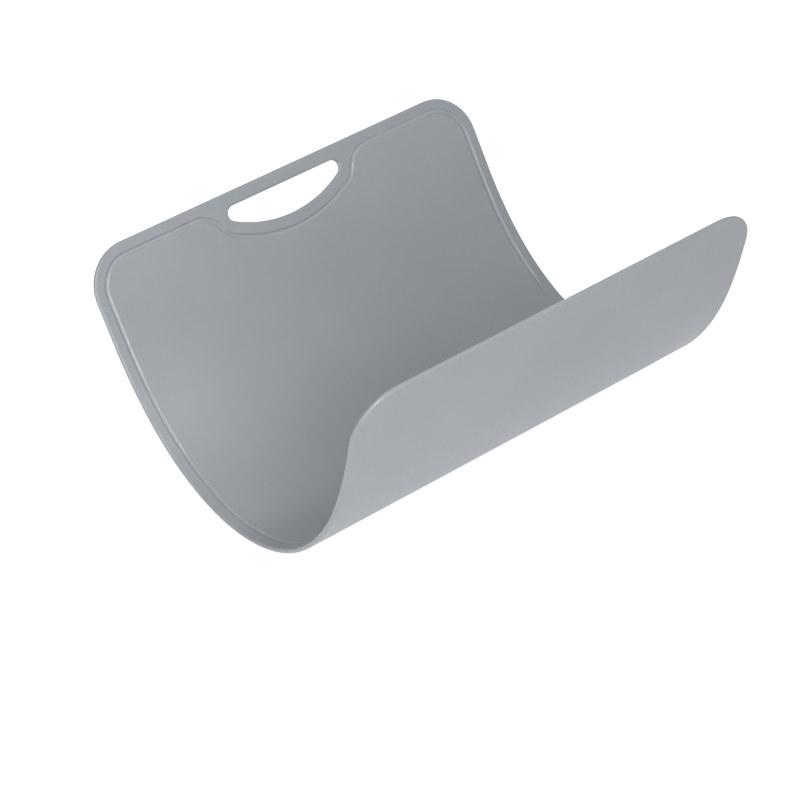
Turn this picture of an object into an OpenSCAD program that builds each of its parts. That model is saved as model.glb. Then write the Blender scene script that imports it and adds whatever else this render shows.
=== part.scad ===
// Flexible cutting mat, curled up as it is held to tip food off it.
//
// The mat is one moulded sheet. It bends about lines that run parallel to the
// handle edge, so it is divided there, and only there, into a handle end, a row
// of strips and a free end. Laid flat, the pieces close up into the whole sheet.
//
// X runs along the handle edge, +Y from the handle edge towards the free edge
// and +Z up. The origin is under the middle of the belly strip, on which the
// curled mat stands. Each bend line lies on the food face, so the pieces close up
// when flat, a seam apart, and open only on the outside when curled.

/* [Sheet] */
// Width of the sheet along the handle edge
sheet_w = 200; // [170:1:260]
// Length of the sheet from the handle edge to the free edge
sheet_l = 290; // [250:1:340]
// Thickness of the sheet
sheet_t = 2; // [1.6:0.1:3]
// Radius of the four corners
corner_r = 20; // [14:0.5:26]

/* [Bend lines] */
// Length of the handle end, which stays flat
handle_end_l = 44; // [36:1:50]
// Length of the free end, which stays flat
free_end_l = 30; // [26:1:40]
// Number of strips between the handle end and the belly strip
handle_strips = 8; // [4:1:12]
// Number of strips between the belly strip and the free end
flap_strips = 9; // [4:1:12]
// Gap left between neighbouring pieces when the sheet is flat
seam = 0.02; // [0.01:0.01:0.1]

/* [Curl] */
// Angle between the two ends of the curled sheet, in degrees
curl_angle = 135; // [40:1:170]
// Distance from the handle edge to the tightest part of the curl
curl_peak = 138; // [110:1:170]
// Distance from there to where the curl would die away
curl_spread = 178; // [150:1:240]

/* [Juice groove] */
// Width of the groove at the food face
groove_w = 2.2; // [1.8:0.1:4]
// Depth of the groove below the food face
groove_depth = 0.5; // [0.4:0.05:1.1]
// Distance from the edge of the sheet to the middle of the groove
groove_inset = 5.5; // [4.5:0.1:8]
// Radius with which the groove turns off the straight to pass the slot
groove_turn_r = 12; // [8:0.5:16]
// Distance from the edge of the slot to the middle of the groove
groove_gap = 6; // [4:0.1:8]

/* [Handle slot] */
// Length of the slot along the handle edge
slot_l = 58; // [44:1:72]
// Distance from the straight side of the slot to the top of its curved side
slot_h = 13.2; // [10:0.1:16]
// Width of the bar between the handle edge and the slot
bar_w = 6.3; // [5:0.1:12]
// Radius of the two ends of the slot
slot_end_r = 3.3; // [2.5:0.1:4]

/* [Hidden] */
$fn = 96;
sheet_colour = [0.63, 0.65, 0.67];

// Pieces are counted from the handle end, 0, to the free end, last.
belly = handle_strips + 1;
last = handle_strips + flap_strips + 2;
strip_l = (sheet_l - handle_end_l - free_end_l) / (last - 1);

function piece_l(i) = i == 0 ? handle_end_l : i == last ? free_end_l : strip_l;

// Names count outwards from the belly strip, so that number 1 is next to it.
function piece_name(i) =
    i == 0 ? "handle_end" :
    i == last ? "free_end" :
    i == belly ? "belly_strip" :
    i < belly ? str("handle_strip_", belly - i) : str("flap_strip_", i - belly);

// Bend line j lies between piece j and piece j + 1. Its angle follows a smooth
// bell, highest at curl_peak, and all the angles add up to curl_angle.
function bend_station(j) = handle_end_l + j * strip_l;
function bell(j) = 1 + cos(180 * min(1, abs(bend_station(j) - curl_peak) / curl_spread));
function bell_sum(j = last - 1) = j < 0 ? 0 : bell(j) + bell_sum(j - 1);
function bend(j) = curl_angle * bell(j) / bell_sum();

// Tilt of a piece from the level belly strip, in degrees about X
function tilt(i) =
    i == belly ? 0 :
    i > belly ? tilt(i - 1) + bend(i - 1) : tilt(i + 1) - bend(i);
function along(i) = [cos(tilt(i)), sin(tilt(i))];

// Place in Y and Z of the end of a piece that faces the handle edge
function start(i) =
    i == belly ? [-strip_l / 2, sheet_t] :
    i > belly ? start(i - 1) + piece_l(i - 1) * along(i - 1) :
    start(i + 1) - piece_l(i) * along(i);

// The groove is a round channel of this radius, with its axis above its floor.
groove_r = (pow(groove_w / 2, 2) + pow(groove_depth, 2)) / (2 * groove_depth);
groove_axis_z = groove_r - groove_depth;

// The slot is a half moon: its straight side faces the handle edge, its two
// ends are small circles, and its curved side is one arc that touches both.
slot_end_x = slot_l / 2 - slot_end_r;
slot_end_y = bar_w + slot_end_r;
slot_rise = slot_h - slot_end_r;
slot_arc_r = (pow(slot_end_x, 2) + pow(slot_rise, 2) - pow(slot_end_r, 2))
    / (2 * (slot_rise - slot_end_r));
slot_arc_y = bar_w + slot_h - slot_arc_r;
slot_arc_half = atan2(slot_end_x, slot_end_y - slot_arc_y);
right_end = [slot_end_x, slot_end_y];
left_end = [-slot_end_x, slot_end_y];
arc_centre = [0, slot_arc_y];
right_touch = 90 - slot_arc_half;
left_touch = 90 + slot_arc_half;

// The rim of the slot is fully round. It belongs to a rectangle of the sheet
// that reaches panel_edge past the slot on all four sides.
rim_r = sheet_t / 2;
panel_edge = bar_w / 2;
panel_x = slot_l / 2 + panel_edge;
panel_y0 = bar_w - panel_edge;
panel_y1 = bar_w + slot_h + panel_edge;

// The groove keeps groove_gap from the slot's ends and curved side. On each side
// of the slot one more arc leads it back to its straight run.
turn_y = groove_inset + groove_turn_r;
turn_x = slot_end_x + sqrt(pow(groove_turn_r + slot_end_r + groove_gap, 2) - pow(turn_y - slot_end_y, 2));
turn_angle = atan2(turn_y - slot_end_y, turn_x - slot_end_x);

// Sections that follow a path round the slot have ring_steps flats, and stand
// turn_facet_angle apart or, on the long arc, sweep_facet_angle. The groove's
// section is a hair narrower there, and starts dip_lead inside the straight run.
ring_steps = 10;
turn_facet_angle = 9;
sweep_facet_angle = 3;
dip_r = 0.98 * groove_r;
dip_lead = 2;

// Outline across the edge of the sheet: x is the distance in from the edge,
// y = 0 is the food face. The edge itself is fully round.
module edge_section(reach, grooved = true) {
    difference() {
        union() {
            translate([sheet_t / 2, -sheet_t / 2]) circle(d = sheet_t);
            translate([sheet_t / 2, -sheet_t]) square([reach - sheet_t / 2, sheet_t]);
        }
        if (grooved) translate([groove_inset, groove_axis_z]) circle(groove_r);
    }
}

// A plain length of the sheet over its whole width, from y = y0 to y = y1
module full_width(y0, y1) {
    translate([0, y1, 0]) rotate([90, 0, 0]) linear_extrude(y1 - y0)
        for (side = [0, 1]) mirror([side, 0])
            translate([-sheet_w / 2, 0]) edge_section(sheet_w / 2);
}

// The border of the sheet's end, with the edge at y = 0, from x = x0 to x = x1
module end_border(x0, x1, grooved = true) {
    translate([x0, 0, 0]) rotate([90, 0, 90]) linear_extrude(x1 - x0)
        edge_section(corner_r, grooved);
}

// The right-hand corner of the sheet, with the groove turning inside it
module corner() {
    translate([sheet_w / 2 - corner_r, corner_r, 0]) rotate([0, 0, -90])
        rotate_extrude(angle = 90) translate([corner_r, 0]) mirror([1, 0]) edge_section(corner_r);
}

module both_corners() {
    for (side = [0, 1]) mirror([side, 0, 0]) corner();
}

// Stations along an arc of a path, from one direction to another in degrees
// about centre, with step_angle between them at most. Each is [x, y, n],
// where n is the direction across the path, on its right-hand side.
function arc_stations(centre, path_r, from, to, step_angle) =
    let (steps = ceil(abs(to - from) / step_angle), across = to > from ? 0 : 180)
    [for (k = [0 : steps]) let (a = from + (to - from) * k / steps)
        [centre[0] + path_r * cos(a), centre[1] + path_r * sin(a), a + across]];

// The same with the points of a straight line added, spread evenly from p to q
function with_line(stations, p, q) =
    [for (k = [0 : len(stations) - 1]) concat(stations[k], p + (q - p) * k / (len(stations) - 1))];

// Where two arcs meet, the second one's first station repeats the last one.
function no_repeats(stations) = [for (k = [0 : len(stations) - 1])
    if (k == 0 || norm(stations[k] - stations[k - 1]) > groove_w / 10) stations[k]];

// Once round the slot, a rim's radius outside its edge, starting at the right-hand
// end of the straight side, with the points of the panel's outline beside it
slot_path = no_repeats(concat(
    with_line(
        arc_stations(right_end, slot_end_r + rim_r, -90, right_touch, turn_facet_angle),
        [panel_x, panel_y0], [panel_x, panel_y1]),
    with_line(
        arc_stations(arc_centre, slot_arc_r + rim_r, right_touch, left_touch, sweep_facet_angle),
        [panel_x, panel_y1], [-panel_x, panel_y1]),
    with_line(
        arc_stations(left_end, slot_end_r + rim_r, left_touch, 270, turn_facet_angle),
        [-panel_x, panel_y1], [-panel_x, panel_y0])));

// Section of the panel at one station, from its outline in along the food face,
// round the rim, and back out along the underside
function panel_ring(station) = concat(
    [[station[3], station[4], 0]],
    [for (k = [0 : ring_steps]) let (q = 180 * k / ring_steps)
        [station[0] - rim_r * sin(q) * cos(station[2]),
         station[1] - rim_r * sin(q) * sin(station[2]),
         rim_r * (cos(q) - 1)]],
    [[station[3], station[4], -sheet_t]]);

// The rectangle of the sheet round the slot, with the slot and its rounded rim
module slot_panel() {
    rings = len(slot_path);
    ring_points = len(panel_ring(slot_path[0]));
    corners = [for (station = slot_path) each panel_ring(station)];
    sides = [for (r = [0 : rings - 1], k = [0 : ring_points - 1])
        let (next_r = (r + 1) % rings, next = (k + 1) % ring_points)
        [r * ring_points + k, r * ring_points + next,
         next_r * ring_points + next, next_r * ring_points + k]];
    polyhedron(corners, sides, convexity = 4);
}

// The path of the dip from left to right: it turns off the straight run, rounds
// the end of the slot, follows its curved side, and comes back the same way.
dip_path = no_repeats(concat(
    [[-turn_x - dip_lead, groove_inset, 270]],
    arc_stations([-turn_x, turn_y], groove_turn_r, 270, 360 - turn_angle, turn_facet_angle),
    arc_stations(left_end, slot_end_r + groove_gap, 180 - turn_angle, left_touch, turn_facet_angle),
    arc_stations(arc_centre, slot_arc_r + groove_gap, left_touch, right_touch, sweep_facet_angle),
    arc_stations(right_end, slot_end_r + groove_gap, right_touch, turn_angle, turn_facet_angle),
    arc_stations([turn_x, turn_y], groove_turn_r, 180 + turn_angle, 270, turn_facet_angle),
    [[turn_x + dip_lead, groove_inset, 270]]));

// A half round section of the groove, open upwards, at one station of its path
function groove_ring(station) =
    [for (k = [0 : ring_steps]) let (q = 180 * k / ring_steps - 90)
        [station[0] + dip_r * sin(q) * cos(station[2]),
         station[1] + dip_r * sin(q) * sin(station[2]),
         groove_axis_z - dip_r * cos(q)]];

// The stretch of the groove that leaves the straight run and passes the slot
module groove_dip() {
    rings = len(dip_path);
    ring_points = len(groove_ring(dip_path[0]));
    corners = [for (station = dip_path) each groove_ring(station)];
    sides = [for (r = [0 : rings - 2], k = [0 : ring_steps]) let (next = (k + 1) % ring_points)
        [r * ring_points + k, r * ring_points + next,
         (r + 1) * ring_points + next, (r + 1) * ring_points + k]];
    first_cap = [for (k = [ring_steps : -1 : 0]) k];
    last_cap = [for (k = [0 : ring_steps]) (rings - 1) * ring_points + k];
    polyhedron(corners, concat(sides, [first_cap, last_cap]), convexity = 4);
}

// The flat handle end: two corners, the bar, the slot and the groove round it
module handle_end() {
    border_x = sheet_w / 2 - corner_r;
    plain_x = turn_x + dip_lead / 2;
    color(sheet_colour) piece_at(0) difference() {
        union() {
            difference() {
                union() {
                    both_corners();
                    end_border(-border_x, -plain_x);
                    end_border(-plain_x, plain_x, grooved = false);
                    end_border(plain_x, border_x);
                    full_width(corner_r, handle_end_l - seam / 2);
                }
                translate([-panel_x, panel_y0, -2 * sheet_t])
                    cube([2 * panel_x, panel_y1 - panel_y0, 3 * sheet_t]);
            }
            slot_panel();
        }
        groove_dip();
    }
}

// One strip of the sheet between two bend lines
module strip(i) {
    color(sheet_colour) piece_at(i) full_width(seam / 2, strip_l - seam / 2);
}

// The flat free end, with its two corners
module free_end() {
    border_x = sheet_w / 2 - corner_r;
    color(sheet_colour) piece_at(last) {
        full_width(seam / 2, free_end_l - corner_r);
        translate([0, free_end_l, 0]) mirror([0, 1, 0]) {
            both_corners();
            end_border(-border_x, border_x);
        }
    }
}

// Moves a piece, drawn flat from y = 0, to its place in the curled sheet
module piece_at(i) {
    translate([0, start(i)[0], start(i)[1]]) rotate([tilt(i), 0, 0]) children();
}

handle_end();
for (i = [1 : last - 1])
    strip(i);
free_end();
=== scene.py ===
"""Looks of the flexible cutting mat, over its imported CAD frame.

The sheet is worked out flat and then curled. Flat, a point is (x, s, z): x across
the mat, s along it from the handle edge, and z up from the food face, so the
sheet fills z = 0 to z = -THICK. All lengths are in metres.
"""
import math

import bpy
import numpy as np
from mathutils import Matrix, Vector
from mathutils.geometry import delaunay_2d_cdt


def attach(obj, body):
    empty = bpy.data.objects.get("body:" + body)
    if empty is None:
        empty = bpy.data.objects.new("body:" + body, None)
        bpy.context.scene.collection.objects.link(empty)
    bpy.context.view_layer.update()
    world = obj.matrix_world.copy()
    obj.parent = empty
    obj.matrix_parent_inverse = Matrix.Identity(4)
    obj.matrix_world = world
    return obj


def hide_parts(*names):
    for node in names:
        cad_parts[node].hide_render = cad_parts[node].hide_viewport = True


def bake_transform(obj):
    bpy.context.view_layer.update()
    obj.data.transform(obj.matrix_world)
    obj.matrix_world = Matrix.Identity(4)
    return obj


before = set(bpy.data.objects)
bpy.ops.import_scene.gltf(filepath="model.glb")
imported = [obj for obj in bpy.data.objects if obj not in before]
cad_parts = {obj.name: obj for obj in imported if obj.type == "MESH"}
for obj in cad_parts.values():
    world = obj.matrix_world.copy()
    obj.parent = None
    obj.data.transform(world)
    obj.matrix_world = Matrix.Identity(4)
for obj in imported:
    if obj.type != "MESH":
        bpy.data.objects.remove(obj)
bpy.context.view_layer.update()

MM = 0.001

# Sizes of the sheet and its strips, the same as in the part's source
WIDTH, LENGTH, THICK, CORNER = 200 * MM, 290 * MM, 2 * MM, 20 * MM
STRIPS_HANDLE, STRIPS_FLAP = 8, 9
HANDLE_END, FREE_END = 44 * MM, 30 * MM
STRIP = (LENGTH - HANDLE_END - FREE_END) / (STRIPS_HANDLE + 1 + STRIPS_FLAP)
CURL, CURL_PEAK, CURL_SPREAD = math.radians(135), 138 * MM, 178 * MM

# Sizes of the groove and the finger slot, also from the source, but for the rolled lip
GROOVE_W, GROOVE_DEPTH, GROOVE_INSET = 2.2 * MM, 0.5 * MM, 5.5 * MM
GROOVE_TURN, GROOVE_GAP = 12 * MM, 6 * MM
GROOVE_LIP = 0.25 * MM
SLOT_L, SLOT_H, BAR, SLOT_END = 58 * MM, 13.2 * MM, 6.3 * MM, 3.3 * MM

# The skin's round edge stands this far inside the solid's, whose facets are cut a little flat.
HAIR = 0.01 * MM

# Fineness: steps over the arcs of a section, points across a face, and steps along a bend
RIM_STEPS, LIP_STEPS, FLOOR_STEPS = 14, 5, 16
POINTS_OVER, POINTS_UNDER = 25, 31
BEND_STEPS = 14

# Fineness of the paths: the most degrees from one point of an arc to the next
CORNER_DEGREES, SLOT_END_DEGREES, DIP_DEGREES, MOON_DEGREES = 3, 6, 4, 1.5

# Two points of a path this near are one. Points of a solid are one if they share a cell,
# and the shift keeps round sizes off the cells' edges.
SAME_POINT = 0.01 * MM
CELLS_PER_METRE, CELL_SHIFT = 1e7, 0.137

BODIES = (["handle_end"] + [f"handle_strip_{k}" for k in range(STRIPS_HANDLE, 0, -1)]
          + ["belly_strip"] + [f"flap_strip_{k}" for k in range(1, STRIPS_FLAP + 1)] + ["free_end"])
BELLY = BODIES.index("belly_strip")
LINES = len(BODIES) - 1


# The curl

def curl_line():
    """Heading of each piece and the place of each bend line, in Y and Z.

    The bend at a line is a share of CURL that falls off from CURL_PEAK like
    1 + cos. Headings add up the bends outwards from the level belly strip, and
    the bend lines follow one another at a strip's length along the headings.
    """
    station = HANDLE_END + STRIP * np.arange(LINES)
    share = 1 + np.cos(math.pi * np.minimum(1, np.abs(station - CURL_PEAK) / CURL_SPREAD))
    heading = np.concatenate([[0.0], np.cumsum(CURL * share / share.sum())])
    heading -= heading[BELLY]
    steps = STRIP * np.stack([np.cos(heading[1:-1]), np.sin(heading[1:-1])], 1)
    lines = np.concatenate([[[0.0, 0.0]], np.cumsum(steps, 0)])
    lines += np.array([-STRIP / 2, THICK]) - lines[BELLY - 1]
    return heading, lines


HEADING, LINE = curl_line()
# Each bend reaches half a strip to either side of its line. The middles of the strips are
# the seams between bends, and these two are where the first starts and the last stops.
FIRST_MIDDLE = HANDLE_END - STRIP / 2
LAST_MIDDLE = FIRST_MIDDLE + STRIP * LINES


def along(s):
    """Place, heading and upright of the food face at s, each as rows of Y and Z.

    From the middle of one strip to the middle of the next the face follows the
    parabola that starts and ends along the two strips and is pulled towards the
    bend line between them. Outside the first and last middle it runs straight.
    """
    inside = np.clip(s, FIRST_MIDDLE, LAST_MIDDLE)
    j = np.minimum(((inside - FIRST_MIDDLE) / STRIP).astype(int), LINES - 1)
    t = ((inside - FIRST_MIDDLE) / STRIP - j)[:, None]
    ahead = np.stack([np.cos(HEADING), np.sin(HEADING)], 1)
    before, after = ahead[j], ahead[j + 1]
    place = LINE[j] + STRIP / 2 * (t * t * after - (1 - t) ** 2 * before)
    heading = (1 - t) * before + t * after
    heading /= np.linalg.norm(heading, axis=1)[:, None]
    place = place + (s - inside)[:, None] * heading
    upright = np.stack([-heading[:, 1], heading[:, 0]], 1)
    return place, heading, upright


def curled(flat):
    """Points of the flat sheet in their place in the curl: out along the upright by z."""
    place, _, upright = along(flat[:, 1])
    yz = place + upright * flat[:, 2:3]
    return np.column_stack([flat[:, 0], yz])


def curled_direction(flat, direction):
    """Directions (x, s, z) at points of the flat sheet, turned with the curl."""
    _, heading, upright = along(flat[:, 1])
    yz = heading * direction[:, 1:2] + upright * direction[:, 2:3]
    return np.column_stack([direction[:, 0], yz])


# Sections. Each row is distance across, z, and the outward direction in the same two.

# What a section is multiplied by for the other side of the mat
MIRRORED = np.array([-1, 1, -1, 1])


def arc(centre, radius, start, end, steps):
    """An arc as rows of across, z and direction, from start to end in degrees."""
    a = np.radians(np.linspace(start, end, steps + 1))
    ray = np.stack([np.cos(a), np.sin(a)], 1)
    return np.column_stack([np.array(centre) + radius * ray, ray])


def moved(section, across):
    """A section shifted across, with its directions as they were."""
    return section + np.array([across, 0, 0, 0])


def rim_section():
    """The round edge, from the underside to the food face; across grows inwards."""
    r = THICK / 2
    return arc((r + HAIR, -r), r, 270, 90, RIM_STEPS)


def groove_section():
    """The groove across its middle line, from lip to lip.

    A round channel whose lips are rolled over with a small radius, so that each
    of the three arcs runs into the next without a crease. The floor's directions
    are turned, because its outer side is the one towards its centre.
    """
    r = ((GROOVE_W / 2) ** 2 + GROOVE_DEPTH ** 2) / (2 * GROOVE_DEPTH)
    axis = r - GROOVE_DEPTH
    out = math.sqrt((r + GROOVE_LIP) ** 2 - (axis + GROOVE_LIP) ** 2)
    meet = math.degrees(math.atan2(axis + GROOVE_LIP, out))
    lip = arc((-out, -GROOVE_LIP), GROOVE_LIP, 90, meet, LIP_STEPS)
    floor = arc((0, axis), r, 180 + meet, 360 - meet, FLOOR_STEPS)
    floor[:, 2:] *= -1
    far_lip = lip[::-1] * MIRRORED
    return np.concatenate([lip, floor[1:], far_lip[1:]])


RIM, GROOVE = rim_section(), groove_section()
RIM_IN, LIP = RIM[-1, 0], GROOVE[-1, 0]


def between(start, end, points):
    """Evenly spaced places from start to end, without those two."""
    return np.linspace(start, end, points)[1:-1]


def level(x, z, up):
    """A level stretch of a section at height z, which looks up for 1 and down for -1."""
    return np.column_stack([x, np.full_like(x, z), np.tile((0.0, up), (len(x), 1))])


def cross_section():
    """The whole sheet across its width, as one closed loop of x, z and direction.

    It runs over the food face from +x to -x, round the edge, and back below.
    """
    edge, groove = WIDTH / 2, WIDTH / 2 - GROOVE_INSET
    inner, rim = groove - LIP, edge - RIM_IN
    return np.concatenate([
        moved(RIM * MIRRORED, edge),
        moved(GROOVE * MIRRORED, groove),
        level(between(inner, -inner, POINTS_OVER), 0.0, 1.0),
        moved(GROOVE, -groove)[::-1],
        moved(RIM, -edge)[::-1],
        level(between(-rim, rim, POINTS_UNDER), -THICK, -1.0)])


# Solids from flat points

def facing(corners):
    """Where faces look: the cross product of a quad's diagonals or of a triangle's sides."""
    if corners.shape[1] == 4:
        return np.cross(corners[:, 2] - corners[:, 0], corners[:, 3] - corners[:, 1])
    return np.cross(corners[:, 1] - corners[:, 0], corners[:, 2] - corners[:, 0])


def solid(name, parts, material):
    """One closed mesh from parts, each (flat points, directions, faces, side).

    Points that coincide are merged. A face is turned to look the way its own
    directions do, or towards side, a direction given for the parts that close a
    solid. Shading follows the directions, worked out with the curl.
    """
    flat = np.concatenate([part[0] for part in parts])
    direction = np.concatenate([part[1] for part in parts])
    cell = np.round(flat * CELLS_PER_METRE + CELL_SHIFT).astype(np.int64)
    _, first, same = np.unique(cell, axis=0, return_index=True, return_inverse=True)
    same = same.ravel()
    flat, direction = flat[first], direction[first]
    place = curled(flat)
    normal = curled_direction(flat, direction)
    faces, shade = [], []
    offset = 0
    for points, _, part_faces, side in parts:
        index = same[part_faces + offset]
        if side is None:
            wanted = normal[index].mean(1)
        else:
            towards = np.tile(np.array(side, float), (len(index), 1))
            wanted = curled_direction(flat[index[:, 0]], towards)
        turned = (facing(place[index]) * wanted).sum(1) < 0
        index[turned] = index[turned][:, ::-1]
        faces += index.tolist()
        own = normal[index] if side is None else np.repeat(wanted[:, None], index.shape[1], 1)
        shade.append(own.reshape(-1, 3))
        offset += len(points)
    mesh = bpy.data.meshes.new(name)
    mesh.from_pydata(place.tolist(), [], faces)
    mesh.shade_smooth()
    kept = mesh.attributes.new("sheet", "FLOAT_VECTOR", "POINT")
    kept.data.foreach_set("vector", flat.astype(np.float32).ravel())
    mesh.normals_split_custom_set(np.concatenate(shade))
    mesh.update()
    mesh.materials.append(material)
    piece = bpy.data.objects.new(name, mesh)
    bpy.context.scene.collection.objects.link(piece)
    return piece


def grid_faces(rows, columns, closed=False):
    """Four-sided faces of a grid of rows by columns, its columns joined round if closed."""
    across = columns if closed else columns - 1
    r, c = np.meshgrid(np.arange(rows - 1), np.arange(across), indexing="ij")
    r, c = r.ravel(), c.ravel()
    d = (c + 1) % columns
    corners = [r * columns + c, r * columns + d, (r + 1) * columns + d, (r + 1) * columns + c]
    return np.stack(corners, 1)


def filled(loops):
    """Triangles of the region bounded by closed loops, by the even-odd rule.

    A constrained Delaunay triangulation of all the loops' points, in millimetres,
    is thinned to the triangles whose centre lies inside an odd number of loops.
    """
    points = np.concatenate(loops)
    starts = np.cumsum([0] + [len(loop) for loop in loops])
    rings = [np.arange(a, b) for a, b in zip(starts[:-1], starts[1:])]
    edge = np.concatenate([np.stack([ring, np.roll(ring, -1)], 1) for ring in rings])
    up_to_hull, nearness = 0, 1e-7
    made = delaunay_2d_cdt([Vector(p) for p in points * 1000], edge.tolist(), [], up_to_hull, nearness)
    back = np.array([sources[0] for sources in made[3]])
    triangles = back[np.array(made[2])]
    centre = points[triangles].mean(1)
    p, q = points[edge[:, 0]], points[edge[:, 1]]
    above = (p[None, :, 1] > centre[:, None, 1]) != (q[None, :, 1] > centre[:, None, 1])
    rise = np.where(q[:, 1] == p[:, 1], 1.0, q[:, 1] - p[:, 1])
    cross = p[None, :, 0] + (centre[:, None, 1] - p[None, :, 1]) / rise * (q - p)[None, :, 0]
    return triangles[(above & (cross > centre[:, None, 0])).sum(1) % 2 == 1]


def closing(ring, side):
    """The part that closes a solid at a cross section: its ring filled with triangles."""
    return ring, np.tile(np.array(side, float), (len(ring), 1)), filled([ring[:, [0, 2]]]), side


def bent_piece(j, material):
    """The sheet round bend line j, from the middle of one strip to the next.

    The cross section is carried along s at even steps, and both ends are closed.
    """
    section = cross_section()
    rows, n = BEND_STEPS + 1, len(section)
    s = FIRST_MIDDLE + STRIP * (j + np.linspace(0, 1, rows))
    x, z, out_x, out_z = np.tile(section, (rows, 1)).T
    flat = np.column_stack([x, np.repeat(s, n), z])
    direction = np.column_stack([out_x, np.zeros(rows * n), out_z])
    parts = [(flat, direction, grid_faces(rows, n, closed=True), None),
             closing(flat[:n], (0, -1, 0)),
             closing(flat[-n:], (0, 1, 0))]
    piece = solid(f"mat_bend_{j:02d}", parts, material)
    ends = curled(np.array([[0, s[0], 0], [0, s[-1], 0]], float))
    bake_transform(piece)
    return piece


# Paths on the flat sheet. Each row is x, e and the direction across, pointing at the field;
# e is the distance from the end's own edge.

def arc_path(centre, radius, start, end, towards, step):
    """An arc at most step degrees apart; towards is 1 if the field is outside it, -1 inside."""
    steps = max(1, math.ceil(abs(end - start) / step))
    a = np.radians(np.linspace(start, end, steps + 1))
    ray = np.stack([np.cos(a), np.sin(a)], 1)
    return np.column_stack([np.array(centre) + radius * ray, towards * ray])


def joined(*pieces):
    """Paths end to end, without the points that repeat."""
    path = np.concatenate(pieces)
    apart = np.linalg.norm(np.diff(path[:, :2], axis=0), axis=1) > SAME_POINT
    return path[np.concatenate([[True], apart])]


def border_path(inset, seam, passing=None):
    """Parallel to the outline at an inset: up the +x side, round both corners, down -x.

    passing is what the straight run along the end's edge makes way for.
    """
    x, r = WIDTH / 2 - CORNER, CORNER - inset
    start = np.array([[WIDTH / 2 - inset, seam, -1, 0]])
    first = arc_path((x, CORNER), r, 0, -90, -1, CORNER_DEGREES)
    second = arc_path((-x, CORNER), r, -90, -180, -1, CORNER_DEGREES)
    stop = np.array([[-WIDTH / 2 + inset, seam, 1, 0]])
    middle = [passing] if passing is not None else []
    return joined(start, first, *middle, second, stop)


def slot_geometry():
    """The half moon: the two end circles' place, and the arc that touches both."""
    x, y = SLOT_L / 2 - SLOT_END, BAR + SLOT_END
    rise = SLOT_H - SLOT_END
    r = (x * x + rise * rise - SLOT_END ** 2) / (2 * (rise - SLOT_END))
    centre_y = BAR + SLOT_H - r
    return x, y, r, centre_y, math.degrees(math.atan2(x, y - centre_y))


def slot_path():
    """Once round the slot from its straight side; across points away from the slot."""
    x, y, r, centre_y, half = slot_geometry()
    return joined(arc_path((x, y), SLOT_END, -90, 90 - half, 1, SLOT_END_DEGREES),
                  arc_path((0, centre_y), r, 90 - half, 90 + half, 1, MOON_DEGREES),
                  arc_path((-x, y), SLOT_END, 90 + half, 270, 1, SLOT_END_DEGREES))


def dip_path():
    """The groove's way past the slot, from +x to -x.

    It turns off its straight run on an arc, rounds the slot's end at a constant
    gap, follows the curved side, and comes back the same way.
    """
    x, y, r, centre_y, half = slot_geometry()
    gap_r = SLOT_END + GROOVE_GAP
    turn_y = GROOVE_INSET + GROOVE_TURN
    turn_x = x + math.sqrt((GROOVE_TURN + SLOT_END + GROOVE_GAP) ** 2 - (turn_y - y) ** 2)
    a = math.degrees(math.atan2(turn_y - y, turn_x - x))
    return joined(arc_path((turn_x, turn_y), GROOVE_TURN, 270, 180 + a, -1, DIP_DEGREES),
                  arc_path((x, y), gap_r, a, 90 - half, 1, DIP_DEGREES),
                  arc_path((0, centre_y), r + GROOVE_GAP, 90 - half, 90 + half, 1, MOON_DEGREES),
                  arc_path((-x, y), gap_r, 90 + half, 180 - a, 1, DIP_DEGREES),
                  arc_path((-turn_x, turn_y), GROOVE_TURN, -a, -90, -1, DIP_DEGREES))


def shifted(path, across):
    """The points of a path, moved across it."""
    return path[:, :2] + path[:, 2:] * across


def seam_row(reach, points, seam):
    """Points of the seam between -reach and reach, as rows of x and e."""
    x = between(-reach, reach, points)
    return np.column_stack([x, np.full_like(x, seam)])


# The flat ends

def from_handle_edge(e):
    """Place along the sheet of a distance from the handle edge."""
    return e


def from_free_edge(e):
    """Place along the sheet of a distance from the free edge."""
    return LENGTH - e


def carried(path, section, to_s):
    """A section carried along a path: its across runs towards the field."""
    p, c = np.repeat(path, len(section), 0), np.tile(section, (len(path), 1))
    place = p[:, :2] + p[:, 2:] * c[:, 0:1]
    out = p[:, 2:] * c[:, 2:3]
    ahead = to_s(1.0) - to_s(0.0)
    flat = np.column_stack([place[:, 0], to_s(place[:, 1]), c[:, 1]])
    direction = np.column_stack([out[:, 0], out[:, 1] * ahead, c[:, 3]])
    return flat, direction, grid_faces(len(path), len(section)), None


def flat_fill(loops, z, to_s):
    """A flat face of the sheet at height z, with the loops as its outline and holes."""
    points = np.concatenate(loops)
    flat = np.column_stack([points[:, 0], to_s(points[:, 1]), np.full(len(points), z)])
    up = 1.0 if z == 0 else -1.0
    return flat, np.tile([0.0, 0.0, up], (len(flat), 1)), filled(loops), None


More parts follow.
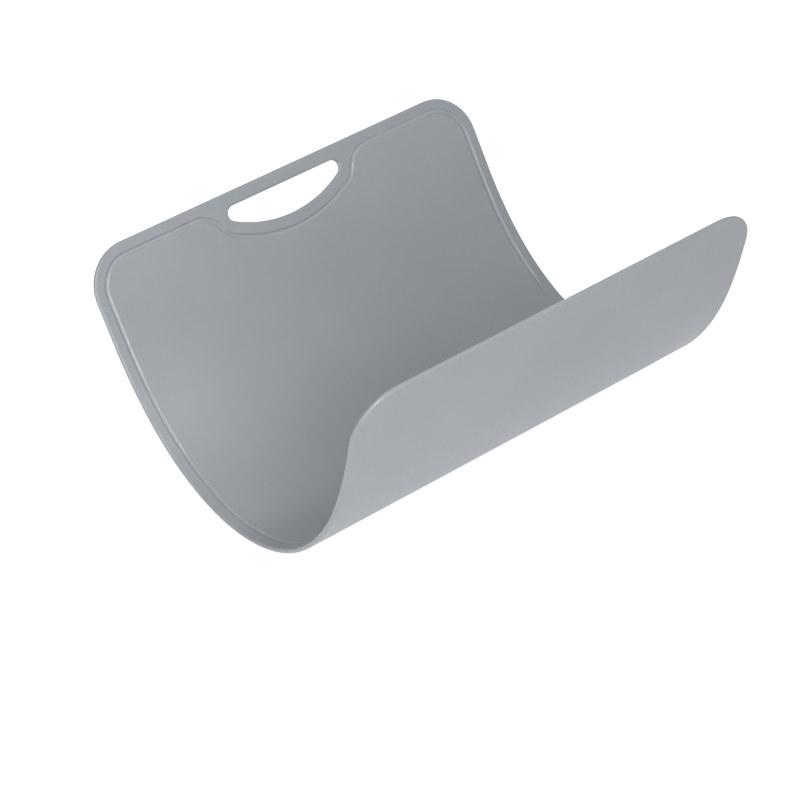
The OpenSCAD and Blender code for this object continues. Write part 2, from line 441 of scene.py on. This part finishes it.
def end_piece(name, body, seam, to_s, material, slotted):
    """A flat end of the sheet, from its own edge to a seam half a strip short of the bend line.

    The round edge, the groove and the slot's rim are sections carried along
    their paths. Flat fills join them on the food face and on the underside.
    """
    outline = border_path(0, seam)
    middle = border_path(GROOVE_INSET, seam, dip_path() if slotted else None)
    border = np.concatenate([shifted(outline, RIM_IN), shifted(middle, -LIP)[::-1]])
    field = np.concatenate([shifted(middle, LIP),
                            seam_row(WIDTH / 2 - GROOVE_INSET - LIP, POINTS_OVER, seam)])
    under = np.concatenate([shifted(outline, RIM_IN), seam_row(WIDTH / 2 - RIM_IN, POINTS_UNDER, seam)])
    holes = []
    parts = []
    if slotted:
        slot = slot_path()
        holes = [shifted(slot, RIM_IN)]
        parts.append(carried(np.concatenate([slot, slot[:1]]), RIM, to_s))
    parts += [carried(outline, RIM, to_s), carried(middle, GROOVE, to_s)]
    parts += [flat_fill([border] + holes, 0.0, to_s), flat_fill([field], 0.0, to_s),
              flat_fill([under] + holes, -THICK, to_s)]
    section = cross_section()
    ring = np.column_stack([section[:, 0], np.full(len(section), to_s(seam)), section[:, 1]])
    parts.append(closing(ring, (0, 1, 0) if slotted else (0, -1, 0)))
    piece = solid(name, parts, material)
    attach(piece, body)
    return piece


# Material

# The two greys that the clouds and the grain vary between
DARK_GREY, LIGHT_GREY = (0.334, 0.357, 0.384, 1), (0.361, 0.385, 0.414, 1)
# Heights on the sheet: the skin is smoother from SUNK down to EDGE_LOW, and as rough as
# the faces again at EDGE_END, near the underside
SUNK, EDGE_LOW, EDGE_END = -0.12 * MM, -1.2 * MM, -1.9 * MM
# Roughness: the range of the grain, what a rub mark adds, and what the smoother skin takes off
ROUGH_FINE, ROUGH_COARSE, RUB_ROUGH, SMOOTHER = 0.36, 0.41, 0.05, 0.27
# Specular level of the faces and of the smoother skin
SHINE, SMOOTH_SHINE = 0.5, 0.7
GRAIN_STRENGTH, GRAIN_HEIGHT = 0.25, 0.05 * MM


def moulded_sheet():
    """Mid-grey elastomer with a satin moulded skin.

    Colour: a mid-grey with broad faint clouds and a trace of the grain. Roughness:
    a fine grain and long faint rub marks, and a smoother, shinier skin in the groove
    and round the edge. Relief: the grain of the mould. All follow the flat sheet.
    """
    material = bpy.data.materials.new("moulded_sheet")
    material.use_nodes = True
    tree = material.node_tree
    nodes, links = tree.nodes, tree.links
    shader = nodes["Principled BSDF"]
    flat = nodes.new("ShaderNodeAttribute")
    flat.attribute_name = "sheet"

    def noise(scale, detail, roughness=0.5, stretch=(1, 1, 1), turn=0.0):
        """Noise on the flat sheet, scale times a metre, stretched and turned about z."""
        spread = nodes.new("ShaderNodeMapping")
        spread.inputs["Scale"].default_value = stretch
        spread.inputs["Rotation"].default_value = (0, 0, turn)
        links.new(flat.outputs["Vector"], spread.inputs["Vector"])
        made = nodes.new("ShaderNodeTexNoise")
        made.inputs["Scale"].default_value = scale
        made.inputs["Detail"].default_value = detail
        made.inputs["Roughness"].default_value = roughness
        links.new(spread.outputs["Vector"], made.inputs["Vector"])
        return made.outputs["Fac"]

    def ranged(value, low, high, out_low, out_high):
        """A value carried in a straight line from one range to another, and kept in it."""
        made = nodes.new("ShaderNodeMapRange")
        made.inputs["From Min"].default_value = low
        made.inputs["From Max"].default_value = high
        made.inputs["To Min"].default_value = out_low
        made.inputs["To Max"].default_value = out_high
        links.new(value, made.inputs["Value"])
        return made.outputs["Result"]

    def combined(operation, a, b):
        """Two values put together by one operation."""
        made = nodes.new("ShaderNodeMath")
        made.operation = operation
        links.new(a, made.inputs[0])
        links.new(b, made.inputs[1])
        return made.outputs["Value"]

    clouds = noise(scale=22, detail=3)
    grain = noise(scale=1500, detail=2, roughness=0.6)
    rubs = noise(scale=60, detail=3, roughness=0.55, stretch=(14, 0.7, 1), turn=0.35)

    colour = nodes.new("ShaderNodeValToRGB")
    colour.color_ramp.elements[0].position = 0.3
    colour.color_ramp.elements[0].color = DARK_GREY
    colour.color_ramp.elements[1].position = 0.7
    colour.color_ramp.elements[1].color = LIGHT_GREY
    shade = combined("ADD", ranged(clouds, 0.3, 0.7, 0.3, 0.62), ranged(grain, 0.3, 0.7, 0, 0.1))
    links.new(shade, colour.inputs["Fac"])
    links.new(colour.outputs["Color"], shader.inputs["Base Color"])

    height = nodes.new("ShaderNodeSeparateXYZ")
    links.new(flat.outputs["Vector"], height.inputs["Vector"])
    sunk = ranged(height.outputs["Z"], SUNK, 0, 1, 0)
    above_back = ranged(height.outputs["Z"], EDGE_END, EDGE_LOW, 0, 1)
    smooth = combined("MULTIPLY", sunk, above_back)
    faces = combined("ADD", ranged(grain, 0.3, 0.7, ROUGH_FINE, ROUGH_COARSE),
                     ranged(rubs, 0.35, 0.7, 0, RUB_ROUGH))
    rough = combined("SUBTRACT", faces, ranged(smooth, 0, 1, 0, SMOOTHER))
    links.new(rough, shader.inputs["Roughness"])
    links.new(ranged(smooth, 0, 1, SHINE, SMOOTH_SHINE), shader.inputs["Specular IOR Level"])

    bump = nodes.new("ShaderNodeBump")
    bump.inputs["Strength"].default_value = GRAIN_STRENGTH
    bump.inputs["Distance"].default_value = GRAIN_HEIGHT
    links.new(grain, bump.inputs["Height"])
    links.new(bump.outputs["Normal"], shader.inputs["Normal"])
    shader.inputs["IOR"].default_value = 1.5
    return material


def mat():
    """The whole mat: two flat ends and the bends between them, over every CAD node."""
    skin = moulded_sheet()
    handle = end_piece("mat_handle_end", "handle_end", FIRST_MIDDLE, from_handle_edge, skin, slotted=True)
    free = end_piece("mat_free_end", "free_end", LENGTH - LAST_MIDDLE, from_free_edge, skin, slotted=False)
    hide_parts("handle_end")
    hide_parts("free_end")
    for j in range(LINES):
        piece = bent_piece(j, skin)
        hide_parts(BODIES[j], BODIES[j + 1])


# Surroundings

FLOOR_HALF, FLOOR_GREY, FLOOR_LIFT = 12.0, 0.82, 0.78
WORLD_LIGHT = 0.25


def seen_rays(tree):
    """1 for the rays that show the background: from the camera, reflected or let through."""
    path = tree.nodes.new("ShaderNodeLightPath")
    value = path.outputs["Is Camera Ray"]
    for other in ("Is Glossy Ray", "Is Transmission Ray"):
        either = tree.nodes.new("ShaderNodeMath")
        either.operation = "MAXIMUM"
        tree.links.new(value, either.inputs[0])
        tree.links.new(path.outputs[other], either.inputs[1])
        value = either.outputs["Value"]
    return value


def pale_floor():
    """A pale plain floor, lifted to white for the rays that show it; it keeps the mat's shadow."""
    mesh = bpy.data.meshes.new("floor")
    h = FLOOR_HALF
    mesh.from_pydata([(-h, -h, 0), (h, -h, 0), (h, h, 0), (-h, h, 0)], [], [(0, 1, 2, 3)])
    floor = bpy.data.objects.new("floor", mesh)
    bpy.context.scene.collection.objects.link(floor)
    material = bpy.data.materials.new("pale_floor")
    material.use_nodes = True
    tree = material.node_tree
    shader = tree.nodes["Principled BSDF"]
    shader.inputs["Base Color"].default_value = (FLOOR_GREY, FLOOR_GREY, FLOOR_GREY, 1)
    shader.inputs["Roughness"].default_value = 0.9
    shader.inputs["Specular IOR Level"].default_value = 0.1
    lift = tree.nodes.new("ShaderNodeMath")
    lift.operation = "MULTIPLY"
    lift.inputs[1].default_value = FLOOR_LIFT
    tree.links.new(seen_rays(tree), lift.inputs[0])
    shader.inputs["Emission Color"].default_value = (1, 1, 1, 1)
    tree.links.new(lift.outputs["Value"], shader.inputs["Emission Strength"])
    mesh.materials.append(material)


def soft_world():
    """Weak even light from all round, and white to the rays that show it."""
    world = bpy.data.worlds.new("world")
    bpy.context.scene.world = world
    world.use_nodes = True
    tree = world.node_tree
    nodes, links = tree.nodes, tree.links
    light = nodes["Background"]
    light.inputs["Color"].default_value = (1, 1, 1, 1)
    light.inputs["Strength"].default_value = WORLD_LIGHT
    seen = nodes.new("ShaderNodeBackground")
    seen.inputs["Color"].default_value = (1, 1, 1, 1)
    seen.inputs["Strength"].default_value = 1.0
    mix = nodes.new("ShaderNodeMixShader")
    links.new(seen_rays(tree), mix.inputs["Fac"])
    links.new(light.outputs["Background"], mix.inputs[1])
    links.new(seen.outputs["Background"], mix.inputs[2])
    links.new(mix.outputs["Shader"], nodes["World Output"].inputs["Surface"])


def view_from(azimuth, elevation):
    """The way from the mat to a viewer, given in degrees; azimuth 0 looks along +Y."""
    a, e = math.radians(azimuth), math.radians(elevation)
    return Vector((math.sin(a) * math.cos(e), -math.cos(a) * math.cos(e), math.sin(e)))


def soft_box(name, azimuth, elevation, distance, width, height, power, beam=180, aim=0.0):
    """A rectangular lamp that looks at the mat from a direction given as for a view.

    beam narrows its light to a cone, and aim moves it and where it looks along X.
    """
    away = view_from(azimuth, elevation)
    data = bpy.data.lights.new(name, "AREA")
    data.shape = "RECTANGLE"
    data.size, data.size_y, data.energy = width, height, power
    data.spread = math.radians(beam)
    lamp = bpy.data.objects.new(name, data)
    lamp.location = Vector((aim, 0, 50 * MM)) + away * distance
    lamp.rotation_mode = "QUATERNION"
    lamp.rotation_quaternion = away.to_track_quat("Z", "Y")
    lamp.visible_camera = False
    bpy.context.scene.collection.objects.link(lamp)


def studio_lamps():
    """Two narrow lamps on the +X half, a small high one, and broad ones in front and behind."""
    soft_box("key", 152, 30, distance=0.9, width=0.6, height=0.6, power=0.33, beam=60, aim=0.14)
    soft_box("key_below", 157, 10, distance=0.9, width=0.6, height=0.4, power=0.43, beam=60, aim=0.14)
    soft_box("high", 130, 46, distance=0.75, width=0.06, height=0.25, power=0.9)
    soft_box("wide", 200, 40, distance=1.5, width=1.2, height=0.8, power=2.9)
    soft_box("back", 330, 35, distance=1.3, width=1.2, height=0.8, power=3.5)


def photograph_camera():
    """The photograph's view: a long lens, tilted by the roll about its own axis."""
    roll = math.radians(10.92)
    back = view_from(147.65, 27.81)
    aim, distance = Vector((20.34 * MM, 3.96 * MM, 30.43 * MM)), 1.2260
    sideways = Vector((0, 0, 1)).cross(back).normalized()
    above = back.cross(sideways)
    right = math.cos(roll) * sideways - math.sin(roll) * above
    up = math.sin(roll) * sideways + math.cos(roll) * above
    data = bpy.data.cameras.new("camera")
    data.lens, data.sensor_width = 135.0, 36.0
    data.clip_start, data.clip_end = 0.05, 60.0
    camera = bpy.data.objects.new("camera", data)
    turned = Matrix((right, up, back)).transposed().to_4x4()
    turned.translation = aim + back * distance
    camera.matrix_world = turned
    bpy.context.scene.collection.objects.link(camera)
    bpy.context.scene.camera = camera


mat()
pale_floor()
soft_world()
studio_lamps()
photograph_camera()
bpy.context.scene.view_settings.view_transform = "Standard"
